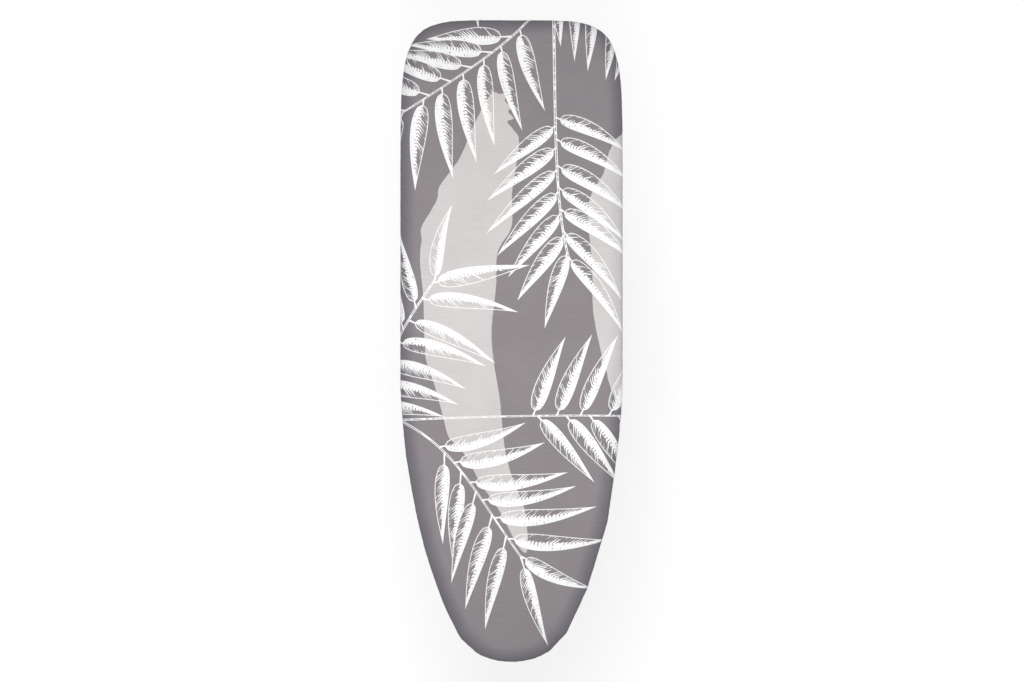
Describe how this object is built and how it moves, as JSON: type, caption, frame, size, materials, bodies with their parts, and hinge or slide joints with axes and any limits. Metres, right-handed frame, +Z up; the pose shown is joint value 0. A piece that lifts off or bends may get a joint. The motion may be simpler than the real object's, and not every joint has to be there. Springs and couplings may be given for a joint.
{
  "type": "ironing board",
  "caption": "Folding ironing board with a fitted padded cover, a square end and a tapered nose, on crossed tube legs held at height by a sliding brake.",
  "frame": {"origin": "on the floor under the middle of the board, with the legs opened to their working height", "axes": "+Z up, +Y along the board towards its square end, +X across the board; the nose points to -Y"},
  "size_m": [0.416, 1.2, 0.9],
  "materials": {
    "cover_cloth": "matte",
    "felt": "matte",
    "elastic": "matte",
    "frame_paint": "satin",
    "leg_paint": "satin",
    "zinc": "satin",
    "black_plastic": "matte",
    "nylon": "satin"
  },
  "bodies": {
    "board": {"cover": "cover_cloth", "pad": "felt", "hem_elastic": "elastic", "mesh_top": "frame_paint", "rim_frame": "frame_paint", "strut_nose": "frame_paint", "strut_front": "frame_paint", "strut_middle": "frame_paint", "strut_hinge": "frame_paint", "strut_tail": "frame_paint", "rail_left": "zinc", "rail_right": "zinc", "rail_stop_left": "black_plastic", "rail_stop_right": "black_plastic", "hinge_axle": "zinc", "axle_cap_left": "black_plastic", "axle_cap_right": "black_plastic", "axle_spacer_left": "nylon", "axle_spacer_right": "nylon", "lock_bridge": "zinc", "lock_housing": "zinc", "brake_spring": "zinc", "lever_pin": "zinc"},
    "outer_leg": {"outer_leg_tube_left": "leg_paint", "outer_leg_tube_right": "leg_paint", "outer_leg_plug_left": "black_plastic", "outer_leg_plug_right": "black_plastic", "outer_leg_brace": "leg_paint", "outer_leg_foot_bar": "leg_paint", "outer_leg_foot_cap_left": "black_plastic", "outer_leg_foot_cap_right": "black_plastic", "cross_bolt_left": "zinc", "cross_bolt_right": "zinc", "cross_nut_left": "zinc", "cross_nut_right": "zinc", "cross_spacer_left": "nylon", "cross_spacer_right": "nylon"},
    "inner_leg": {"inner_leg_tube_left": "leg_paint", "inner_leg_tube_right": "leg_paint", "inner_leg_plug_left": "black_plastic", "inner_leg_plug_right": "black_plastic", "inner_leg_brace": "leg_paint", "inner_leg_foot_bar": "leg_paint", "inner_leg_foot_cap_left": "black_plastic", "inner_leg_foot_cap_right": "black_plastic", "slide_axle": "zinc"},
    "slider": {"rod_eye": "zinc", "brake_rod": "zinc", "rod_collar": "black_plastic", "slide_shoe_left": "nylon", "slide_shoe_right": "nylon"},
    "lever": {"release_lever": "zinc", "lever_grip": "black_plastic"},
    "plates": {"brake_plate_1": "zinc", "brake_plate_2": "zinc"}
  },
  "joints": [
    {"name": "leg_fold", "type": "hinge", "parent": "board", "child": "outer_leg", "pos_m": [0, 0.34, 0.86473], "axis": [-1, 0, 0], "range_deg": [0, 52.78]},
    {"name": "inner_leg_fold", "type": "hinge", "parent": "outer_leg", "child": "inner_leg", "pos_m": [0, 0.12632, 0.5505], "axis": [-1, 0, 0], "range_deg": [-105.56, 0]},
    {"name": "slider_level", "type": "hinge", "parent": "inner_leg", "child": "slider", "pos_m": [0, -0.08736, 0.86473], "axis": [-1, 0, 0], "range_deg": [0, 52.78]},
    {"name": "lever_swing", "type": "hinge", "parent": "board", "child": "lever", "pos_m": [0.03, -0.053, 0.8828], "axis": [0, 0, -1], "range_deg": [0, 6], "stiffness_Nm_per_rad": 6, "springref_deg": -5.73},
    {"name": "plate_tilt", "type": "hinge", "parent": "board", "child": "plates", "pos_m": [0, -0.04948, 0.85183], "axis": [-1, 0, 0], "range_deg": [0, 6], "deforming": ["brake_spring"]}
  ],
  "couplings": [
    {"joint": "inner_leg_fold", "follows": "leg_fold", "ratio": -2},
    {"joint": "slider_level", "follows": "leg_fold", "ratio": 1},
    {"joint": "plate_tilt", "follows": "lever_swing", "ratio": 1}
  ]
}
